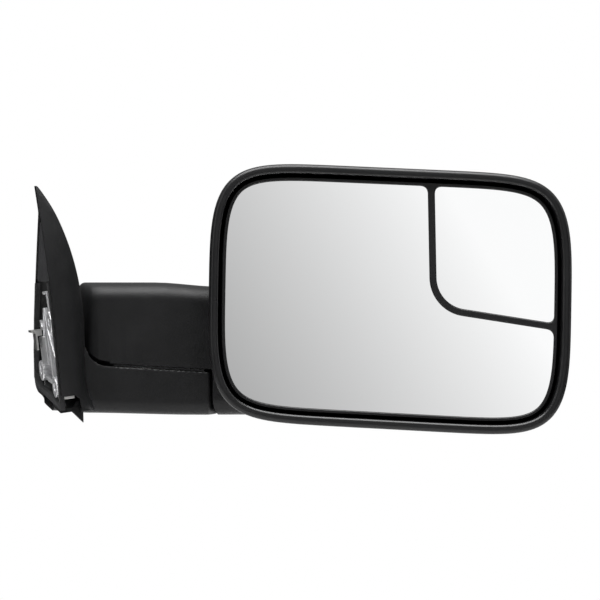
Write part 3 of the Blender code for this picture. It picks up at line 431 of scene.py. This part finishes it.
def noise(tree, scale, detail=3.0, rough=0.55, kind="TEX_NOISE"):
    coords = tree.nodes.new("ShaderNodeTexCoord")
    made = tree.nodes.new("ShaderNodeTexNoise" if kind == "TEX_NOISE" else "ShaderNodeTexVoronoi")
    made.inputs["Scale"].default_value = scale
    if kind == "TEX_NOISE":
        made.inputs["Detail"].default_value = detail
        made.inputs["Roughness"].default_value = rough
    tree.links.new(coords.outputs["Object"], made.inputs["Vector"])
    return made


def ramp(tree, source, low, high, from_low=0.0, from_high=1.0):
    made = tree.nodes.new("ShaderNodeMapRange")
    made.inputs["From Min"].default_value = from_low
    made.inputs["From Max"].default_value = from_high
    made.inputs["To Min"].default_value = low
    made.inputs["To Max"].default_value = high
    tree.links.new(source, made.inputs["Value"])
    return made


def bump(tree, shader, heights, strength, distance):
    """Chains bumps from the largest scale to the finest."""
    normal = None
    for source, share in heights:
        step = tree.nodes.new("ShaderNodeBump")
        step.inputs["Strength"].default_value = strength * share
        step.inputs["Distance"].default_value = distance
        tree.links.new(source, step.inputs["Height"])
        if normal:
            tree.links.new(normal, step.inputs["Normal"])
        normal = step.outputs["Normal"]
    tree.links.new(normal, shader.inputs["Normal"])


def mix_colours(tree, shader, factor, low, high):
    mix = tree.nodes.new("ShaderNodeMix")
    mix.data_type = "RGBA"
    mix.inputs["A"].default_value = (*low, 1)
    mix.inputs["B"].default_value = (*high, 1)
    tree.links.new(factor, mix.inputs["Factor"])
    tree.links.new(mix.outputs["Result"], shader.inputs["Base Color"])


def plastic(name, dark, light, rough, spread_of_rough, grain, strength, gloss=0.5):
    """Moulded plastic: a spark-eroded grain, a slow drift in its colour and faint wear in its gloss."""
    made, tree, shader = new_material(name)
    shader.inputs["Specular IOR Level"].default_value = gloss
    fine = noise(tree, grain, 2.0, 0.5)
    cells = noise(tree, grain * 0.55, kind="VORONOI")
    slow = noise(tree, 22.0, 3.0)
    smear = noise(tree, 90.0, 4.0, 0.6)
    mix_colours(tree, shader, ramp(tree, slow.outputs["Fac"], 0, 1, 0.3, 0.7).outputs["Result"], dark, light)
    rough_map = ramp(tree, smear.outputs["Fac"], rough - spread_of_rough, rough + spread_of_rough, 0.3, 0.7)
    tree.links.new(rough_map.outputs["Result"], shader.inputs["Roughness"])
    heights = [(cells.outputs["Distance"], 0.7), (fine.outputs["Fac"], 1.0)]
    bump(tree, shader, heights, strength, 0.0004)
    return made


def metal(name, dark, light, rough, grain, strength, distance=0.0003):
    made, tree, shader = new_material(name)
    fine = noise(tree, grain, 4.0, 0.6)
    slow = noise(tree, 60.0, 4.0, 0.6)
    mix_colours(tree, shader, ramp(tree, slow.outputs["Fac"], 0, 1, 0.3, 0.7).outputs["Result"], dark, light)
    rough_map = ramp(tree, slow.outputs["Fac"], rough + 0.08, rough - 0.06, 0.3, 0.7)
    tree.links.new(rough_map.outputs["Result"], shader.inputs["Roughness"])
    shader.inputs["Metallic"].default_value = 1.0
    bump(tree, shader, [(slow.outputs["Fac"], 0.5), (fine.outputs["Fac"], 1.0)], strength, distance)
    return made


def mirror_finish():
    made, tree, shader = new_material("silvered_glass")
    shader.inputs["Metallic"].default_value = 1.0
    film = noise(tree, 9.0, 2.0)
    mix_colours(tree, shader, film.outputs["Fac"], (0.93, 0.935, 0.94), (0.95, 0.955, 0.955))
    haze = ramp(tree, film.outputs["Fac"], 0.012, 0.03, 0.3, 0.7)
    tree.links.new(haze.outputs["Result"], shader.inputs["Roughness"])
    return made


def rubber_finish():
    made, tree, shader = new_material("closed_cell_foam")
    cells = noise(tree, 1400.0, kind="VORONOI")
    tone = noise(tree, 160.0, 3.0)
    mix_colours(tree, shader, tone.outputs["Fac"], (0.006, 0.006, 0.0065), (0.014, 0.014, 0.015))
    shader.inputs["Roughness"].default_value = 0.86
    bump(tree, shader, [(tone.outputs["Fac"], 0.4), (cells.outputs["Distance"], 1.0)], 0.5, 0.0004)
    return made


FINISH = {
    "textured_plastic": plastic("grained_black_plastic", (0.0052, 0.0053, 0.0056), (0.0078, 0.0079, 0.0083),
                                0.42, 0.05, 2600.0, 0.22, 0.2),
    "bezel_plastic": plastic("satin_black_plastic", (0.0045, 0.0045, 0.0048), (0.0065, 0.0065, 0.0069),
                             0.32, 0.05, 3800.0, 0.10, 0.3),
    "inner_plastic": plastic("moulded_grey_plastic", (0.022, 0.022, 0.024), (0.032, 0.032, 0.034),
                             0.5, 0.06, 1500.0, 0.12),
    "cast_aluminium": metal("cast_aluminium", (0.56, 0.56, 0.57), (0.66, 0.66, 0.67), 0.5, 1500.0, 0.2),
    "zinc_steel": metal("zinc_plated_steel", (0.52, 0.52, 0.50), (0.68, 0.68, 0.66), 0.3, 3000.0, 0.08),
    "spring_steel": metal("oiled_spring_steel", (0.14, 0.14, 0.15), (0.24, 0.24, 0.26), 0.32, 2500.0, 0.10),
    "mirror_glass": mirror_finish(),
    "foam_rubber": rubber_finish(),
    "acetal": plastic("white_acetal", (0.58, 0.58, 0.56), (0.66, 0.66, 0.63), 0.42, 0.05, 1800.0, 0.06),
}

SLOT_OF = {part["node"]: part["material_slot"] for part in frame["record"]["subparts"]}
for name, node in NODES.items():
    node.data.materials.clear()
    node.data.materials.append(FINISH[SLOT_OF[name]])
    node.data.shade_smooth()
    node.data.set_sharp_from_angle(angle=math.radians(35))


# ---------------------------------------------------------------- sail mount
def sail_rear(height):
    share = (height - SAIL_FOOT) / (SAIL_TOP - SAIL_FOOT)
    return SAIL_REAR - SAIL_BOW * 4 * share * (1 - share)


def sail_width(height):
    if height > SAIL_SHOULDER:
        return SAIL_TIP
    if height > SAIL_CORNER:
        share = (SAIL_SHOULDER - height) / (SAIL_SHOULDER - SAIL_CORNER)
        return SAIL_TIP + (SAIL_BASE - SAIL_TIP) * (1 - (1 - share) ** 1.4)
    if height > SAIL_SOLE:
        drop = (SAIL_CORNER - height) / (SAIL_CORNER - SAIL_SOLE)
        return SAIL_BASE * (0.8 + 0.2 * math.sqrt(max(1 - drop * drop, 0.0)))
    return SAIL_TIP + (0.8 * SAIL_BASE - SAIL_TIP) * (height - SAIL_FOOT) / (SAIL_SOLE - SAIL_FOOT)


def sail_bulge(height):
    if height < SAIL_BELLY:
        return SAIL_BULGE - 2.0 * smooth((SAIL_BELLY - height) / 45)
    return SAIL_BULGE * (1 - ((height - SAIL_BELLY) / (SAIL_TOP + 2 - SAIL_BELLY)) ** 2) ** 0.9


def sail_profile(along):
    if along < SAIL_CREST:
        return math.sin(math.pi / 2 * (along / SAIL_CREST) ** 0.62) ** 0.6
    return (1 - ((along - SAIL_CREST) / (1 - SAIL_CREST)) ** 3) ** 0.7


def sail_section(height, inset, steps=36):
    level = height - inset if height < SAIL_CORNER + inset else height
    width = max(sail_width(level) - 2 * inset, 1.0)
    bulge = max(sail_bulge(height) - inset, 0.8)
    rear = sail_rear(height) + inset
    points = [(-5.0, rear, height)]
    for k in range(steps):
        along = ((k + 0.5) / steps) ** 1.35
        points.append((bulge * sail_profile(along), rear + width * along, height))
    points.append((-5.0, rear + width, height))
    return points


def sail_solid(inset, rows):
    foot, tip = SAIL_FOOT + inset, SAIL_TOP - 9 * inset
    heights = [foot + (tip - foot) * k / rows for k in range(rows + 1)]
    return loft([sail_section(h, inset) for h in heights])


def corner_rise(x, y, gap):
    radius = CORNER + gap
    over = min(max(math.hypot(x, y) - FOLD_RADIUS + CORNER, 0.0), radius) if x < 0 else 0.0
    return radius - math.sqrt(radius * radius - over * over)


def shelf_section(x, inset, steps=28):
    reach = SHELF_RADIUS - SHELF_GAP - inset
    rear, front = (ARM_HALF - inset + flare * smooth((-30 - x) / 40) for flare in SHELF_FLARE)
    if x > 0:
        rear = front = min(rear, math.sqrt(max(reach * reach - x * x, 9.0)))
    level = SHELF_TOP + SHELF_SLOPE * (x + FOLD_RADIUS) - inset
    foot = SHELF_FOOT - 2.0 * smooth((x + 49) / 98) + inset
    low = min(11.0, rear - 0.2)
    across = [front - (rear + front) * k / steps for k in range(steps + 1)]
    corners = [(-rear, foot, low), (front, foot + SOLE_RISE * smooth((-40 - x) / 30), low)]
    corners += [(y, level + corner_rise(x, y, 3.0), 0.0) for y in across]
    return [(x, y, z) for y, z in rounded(corners, steps=8)]


def shelf_solid(inset):
    end = SHELF_RADIUS - SHELF_GAP - inset
    start = ARM_HALF - inset
    corner = math.sqrt(end * end - start * start)
    stations = [-76 + 2 * k for k in range(39)] + [8, 20, 32, corner]
    stations += [math.sqrt(end * end - (start * (1 - k / 9)) ** 2) for k in range(1, 9)] + [end - 0.05]
    return loft([shelf_section(x, inset) for x in stations])


def door_plate(outline, low, high):
    """A (y, z) outline of the door plane as a solid between two heights over it."""
    return loft([[(low, y, z) for y, z in outline], [(high, y, z) for y, z in outline]])


def build_sail():
    to_door = DOOR.inverted() @ ARM
    shelf, shelf_room, hub = shelf_solid(0.0), shelf_solid(WALL), rod(FOLD_HUB_HOLE, -30, 0, "Z")
    for part in (shelf, shelf_room, hub):
        part.data.transform(to_door)
    cover = join(sail_solid(0.0, 60), shelf)
    remesh(cover, SKIN_VOXEL, 5)
    heights = [PANEL_FOOT + 3 * k for k in range(16)]
    rear = [(sail_rear(z) + WALL + 0.1, z) for z in reversed(heights)]
    front = [(sail_rear(z) + max(sail_width(z) - WALL - 0.1, WALL + 0.6), z) for z in heights]
    notch = plate([(-10, -34.5), (11, -34.5), (14.5, -38), (15.5, -70), (-10, -70)], -70, -38.5)
    tab = soften(plate([(8, -46), (15, -39), (19, -37), (17, -57)], -38, -35), 0.5, 2)
    cut(cover, block((-60, -200, -200), (0, 200, 200)), sail_solid(WALL, 30), shelf_room, notch, hub)
    join(cover, tab)
    place(cover, "sail_shell", DOOR, "base", "textured_plastic", FINISH["textured_plastic"], "sail_cover")
    panel = soften(door_plate(rear + front, 1.0, 3.0), 0.3, 2)
    place(panel, "sail_panel", DOOR, "base", "inner_plastic", FINISH["inner_plastic"])


def build_casting():
    """The casting's shape as the frame has it, with its inner corners filled and its edges rounded."""
    source = NODES["base_bracket"]
    casting = bpy.data.objects.new("casting", source.data.copy())
    bpy.context.scene.collection.objects.link(casting)
    casting.data.transform(Matrix.Scale(1 / MM, 4) @ source.matrix_world)
    remesh(casting, CASTING_VOXEL, 2)
    place(casting, "door_casting", Matrix.Scale(MM, 4), "base", "cast_aluminium", FINISH["cast_aluminium"],
          "base_bracket")


# ---------------------------------------------------------------- arm
def arm_top(x):
    if x > FLIP_X:
        return math.sqrt(max(FLIP_RADIUS ** 2 - (x - FLIP_X) ** 2, 0.0))
    end = max(-x - FOLD_RADIUS + 5, 0.0)
    level = FLIP_RADIUS + (ARM_TOP - FLIP_RADIUS) * (1 - smooth((x - 10) / 50))
    return level - 5 + math.sqrt(max(25 - end * end, 0.0))


def arm_section(x, inset):
    half = ARM_HALF - inset
    reach = FOLD_RADIUS - inset
    if x < 0:
        round_end = math.sqrt(max(reach * reach - x * x, 1.0))
        half = half * round_end / (half ** END_BLEND + round_end ** END_BLEND) ** (1 / END_BLEND)
    if x > FLIP_X:
        rim = FLIP_RADIUS - inset
        top = math.sqrt(max(rim * rim - (x - FLIP_X) ** 2, 4.0))
        foot = -top
    else:
        top, foot = arm_top(x) - inset, -FLIP_RADIUS + inset
    radius = min(ARM_EDGE - inset * 0.7, half - 0.2, (top - foot) / 2 - 0.2)
    corners = [(y, z, radius) for y, z in ((-half, foot), (half, foot), (half, top), (-half, top))]
    return [(x, y, z) for y, z in rounded(corners, steps=10)]


def arm_solid(inset, rows=14):
    inner, outer = FOLD_RADIUS - inset, FLIP_RADIUS - inset
    start = ARM_HALF - inset
    stations = [-inner + 0.05]
    stations += [-math.sqrt(inner ** 2 - (start * k / rows) ** 2) for k in range(2, rows + 1)]
    stations += [-38 + 4 * k for k in range(12)] + [10 + 9 * k for k in range(15)] + [FLIP_X]
    stations += [FLIP_X + outer * math.sin(math.pi / 2 * k / rows) for k in range(1, rows)]
    stations.append(FLIP_X + outer - 0.1)
    return loft([arm_section(x, inset) for x in stations])


def shelf_space(grow):
    """The space under the arm that the shelf takes, with the rounding along the arm's inboard edge."""
    radius = SHELF_RADIUS + FOLD_GAP + grow
    level = SHELF_TOP + FOLD_GAP + grow
    arc = [(radius * math.sin(a), -radius * math.cos(a)) for a in (math.pi * k / 48 for k in range(49))]
    outline = [*arc, (-80, radius), (-80, -radius)]
    low = [(x, y, -80.0) for x, y in outline]
    high = [(x, y, level + SHELF_SLOPE * (x + FOLD_RADIUS)) for x, y in outline]
    profile = []
    for k in range(13):
        over = CORNER * math.sin(math.pi / 2 * k / 12)
        rise = CORNER - math.sqrt(CORNER ** 2 - over ** 2)
        profile.append((FOLD_RADIUS - CORNER + over - grow, level + rise))
    outer, foot = FOLD_RADIUS + 20, level - 12
    profile += [(outer, level + CORNER), (outer, foot), (profile[0][0], foot)]
    turn = [math.radians(90 + 180 * k / 64) for k in range(65)]
    edge = loft([[(r * math.cos(a), r * math.sin(a), h) for r, h in profile] for a in turn])
    return join(loft([low, high]), edge)


def arm_half(side):
    """One half shell of the arm: side -1 is the rear half and side 1 the front half."""
    shell = cut(arm_solid(0.0), shelf_space(0.0))
    if side < 0:
        cut(shell, block((-200, -SEAM, -200), (400, 200, 200)))
    else:
        cut(shell, block((-200, -200, -200), (400, SEAM, 200)))
    soften(shell, 0.7, 3)
    core = cut(arm_solid(WALL, 8), shelf_space(WALL))
    flip_hole = rod(FLIP_HUB_HOLE, -60, 0, "Y", (FLIP_X, 0, 0))
    return cut(shell, core, rod(FOLD_HUB_HOLE, -30, 5, "Z"), flip_hole)


def build_arm():
    for side, word in ((1, "front"), (-1, "rear")):
        finish = FINISH["textured_plastic"]
        name, node = f"arm_shell_{word}", f"arm_{word}_cover"
        place(arm_half(side), name, ARM, "arm", "textured_plastic", finish, node)


# ---------------------------------------------------------------- head
HOUSING_FRONT = -HEAD_DEPTH + BEZEL_DEPTH


def housing_inset(depth):
    share = min(depth / -HOUSING_FRONT, 1.0)
    return 1.0 + (BACK_INSET - 1.0) * (1 - math.sqrt(max(1 - share ** 2.3, 0.0)))


def crown(x, z):
    across = smooth((x - 62) / 70) * smooth((HEAD_CENTRE[0] + HEAD_HALF_X - 18 - x) / 50)
    low, high = HEAD_CENTRE[1] - HEAD_HALF_Z + 18, HEAD_CENTRE[1] + HEAD_HALF_Z - 18
    return BACK_CROWN * across * smooth((z - low) / 60) * smooth((high - z) / 60)


def housing_solid(inset, front, rows):
    depth = -HOUSING_FRONT
    rings = []
    for k in range(rows + 1):
        share = math.sin(math.pi / 2 * k / rows)
        draw = housing_inset(depth * share) + inset
        y = front if k == 0 else HOUSING_FRONT + (depth - inset) * share
        rings.append([(x, y, z) for x, z in head_ring(draw)])
    edge = head_ring(BACK_INSET + inset)
    middle = Vector(HEAD_CENTRE)
    for k in range(1, rows):
        scale = 1 - k / rows
        ring = []
        for x, z in edge:
            point = middle + (Vector((x, z)) - middle) * scale
            ring.append((point.x, -inset + crown(point.x, point.y), point.y))
        rings.append(ring)
    return loft(rings)


def build_housing():
    shell = housing_solid(0.0, HOUSING_FRONT, 16)
    cut(shell, housing_solid(WALL, HOUSING_FRONT - 3, 8))
    cut(shell, rod(HOUSING_HOLE, -10, 10))
    soften(shell, 0.5, 2, 50)
    finish = FINISH["textured_plastic"]
    place(shell, "housing_shell", HEAD, "head", "textured_plastic", finish, "head_housing")


def arc_points(centre, radius, start, end, steps):
    """Points (inset, y) on an arc of a section, between two angles in degrees."""
    return [
        (centre[0] + radius * math.cos(math.radians(start + (end - start) * k / steps)),
         centre[1] + radius * math.sin(math.radians(start + (end - start) * k / steps)))
        for k in range(steps + 1)
    ]


def build_bezel():
    face = -HEAD_DEPTH
    section = [(0.0, HOUSING_FRONT - 0.3), (0.0, face + 5.5)]
    section += arc_points((3.4, face + 3.4), 3.4, 180, 270, 8)
    section += arc_points((4.9, face + 1.9), 1.9, 280, 350, 6)
    section += [(7.0, face + 8.0), (7.2, HOUSING_FRONT + 2.5)]
    section += [(5.0, HOUSING_FRONT + 2.5), (4.2, HOUSING_FRONT - 0.3)]
    rings = [[(x, y, z) for x, z in head_ring(inset)] for inset, y in section]
    place(hoop(rings), "bezel_rim", HEAD, "head", "bezel_plastic", FINISH["bezel_plastic"], "head_bezel")


CARRIER_FRONT = -HEAD_DEPTH + GLASS_SINK - CARRIER_LIP


def build_carrier():
    frame_plate = plate(head_ring(CARRIER_INSET), CARRIER_FRONT, CARRIER_FRONT + CARRIER)
    for pocket in glass_outlines(POCKET_GAP):
        cut(frame_plate, plate(pocket, CARRIER_FRONT - 3, CARRIER_FRONT + CARRIER_LIP + GLASS + 2.0))
    soften(frame_plate, 0.55, 3, 40)
    finish = FINISH["bezel_plastic"]
    place(frame_plate, "glass_frame", HEAD, "glass", "bezel_plastic", finish, "glass_carrier")
    flatten(frame_plate)


def build_glass():
    front = CARRIER_FRONT + CARRIER_LIP
    for outline, name in zip(glass_outlines(), ("main", "spotter")):
        pane = plate(outline, front, front + GLASS)
        soften(pane, 0.12, 1, 40)
        place(pane, f"{name}_mirror", HEAD, "glass", "mirror_glass", FINISH["mirror_glass"], f"{name}_glass")
        flatten(pane)


# ---------------------------------------------------------------- stage, light and camera
def world_light():
    """A grey ramp by height, with a soft bright window that the mirror glass faces, and a white backdrop."""
    world = bpy.data.worlds.new("studio")
    bpy.context.scene.world = world
    world.use_nodes = True
    tree = world.node_tree
    nodes, links = tree.nodes, tree.links
    nodes.clear()
    coords = nodes.new("ShaderNodeTexCoord")
    split = nodes.new("ShaderNodeSeparateXYZ")
    links.new(coords.outputs["Generated"], split.inputs["Vector"])
    height = ramp(tree, split.outputs["Z"], 0.035, 0.9, 0.12, 0.85)
    reach = nodes.new("ShaderNodeVectorMath")
    reach.operation = "DOT_PRODUCT"
    reach.inputs[1].default_value = Vector((1.0, 0.0, 0.62))
    links.new(coords.outputs["Generated"], reach.inputs[0])
    level = ramp(tree, reach.outputs["Value"], 0.60, 1.01, -0.21, -0.052)
    sweep = nodes.new("ShaderNodeMath")
    sweep.operation = "POWER"
    sweep.inputs[1].default_value = 2.2
    links.new(level.outputs["Result"], sweep.inputs[0])
    front = nodes.new("ShaderNodeVectorMath")
    front.operation = "DOT_PRODUCT"
    front.inputs[1].default_value = Vector((-0.13, -0.99, 0.0)).normalized()
    links.new(coords.outputs["Generated"], front.inputs[0])
    window = ramp(tree, front.outputs["Value"], 0.0, 1.0, 0.955, 0.972)
    blend = nodes.new("ShaderNodeMix")
    links.new(window.outputs["Result"], blend.inputs["Factor"])
    links.new(height.outputs["Result"], blend.inputs["A"])
    links.new(sweep.outputs["Value"], blend.inputs["B"])
    lit = nodes.new("ShaderNodeBackground")
    links.new(blend.outputs["Result"], lit.inputs["Color"])
    seen = nodes.new("ShaderNodeBackground")
    seen.inputs["Color"].default_value = (1, 1, 1, 1)
    path = nodes.new("ShaderNodeLightPath")
    choose = nodes.new("ShaderNodeMixShader")
    links.new(path.outputs["Is Camera Ray"], choose.inputs["Fac"])
    links.new(lit.outputs["Background"], choose.inputs[1])
    links.new(seen.outputs["Background"], choose.inputs[2])
    out = nodes.new("ShaderNodeOutputWorld")
    links.new(choose.outputs["Shader"], out.inputs["Surface"])


def softbox(name, place_at, aim, width, height, power):
    light = bpy.data.lights.new(name, "AREA")
    light.shape = "RECTANGLE"
    light.size, light.size_y = width, height
    light.energy = power
    obj = bpy.data.objects.new(name, light)
    bpy.context.scene.collection.objects.link(obj)
    obj.location = place_at
    obj.rotation_euler = (Vector(aim) - Vector(place_at)).to_track_quat("-Z", "Y").to_euler()
    return obj


def stage_and_camera():
    floor_bm = bmesh.new()
    bmesh.ops.create_circle(floor_bm, cap_ends=True, radius=FLOOR_RADIUS, segments=96)
    bmesh.ops.translate(floor_bm, verts=floor_bm.verts, vec=(0.18, 0.0, FLOOR_LEVEL))
    floor = from_bmesh(floor_bm, "floor")
    finish, tree, shader = new_material("pale_floor")
    tone = noise(tree, 3.0, 2.0)
    mix_colours(tree, shader, tone.outputs["Fac"], (0.80, 0.80, 0.80), (0.84, 0.84, 0.84))
    shader.inputs["Roughness"].default_value = 0.7
    floor.data.materials.append(finish)

    softbox("top_box", (0.10, -0.45, 1.15), (0.15, 0, 0), 1.3, 0.8, 38)
    softbox("left_box", (-1.1, -0.7, 0.35), (0.1, 0, 0.02), 0.5, 1.0, 3)
    softbox("right_box", (1.5, -0.5, 0.35), (0.2, 0, 0.02), 0.5, 1.0, 3)

    data = bpy.data.cameras.new("camera")
    camera = bpy.data.objects.new("camera", data)
    bpy.context.scene.collection.objects.link(camera)
    bpy.context.scene.camera = camera
    azimuth = math.radians(CAMERA_AZIMUTH)
    back = Vector((math.sin(azimuth), -math.cos(azimuth), 0.0))
    camera.location = ARM @ Vector(CAMERA_AIM) + back * CAMERA_DISTANCE
    camera.rotation_euler = (-back).to_track_quat("-Z", "Y").to_euler()
    data.sensor_width = SENSOR_WIDTH
    data.lens = SENSOR_WIDTH * CAMERA_DISTANCE / FRAME_WIDTH
    data.clip_start, data.clip_end = 0.01, 50.0


bpy.context.scene.view_settings.view_transform = "Standard"
stage_and_camera()
world_light()
build_sail()
build_casting()
build_arm()
build_housing()
build_bezel()
build_carrier()
build_glass()
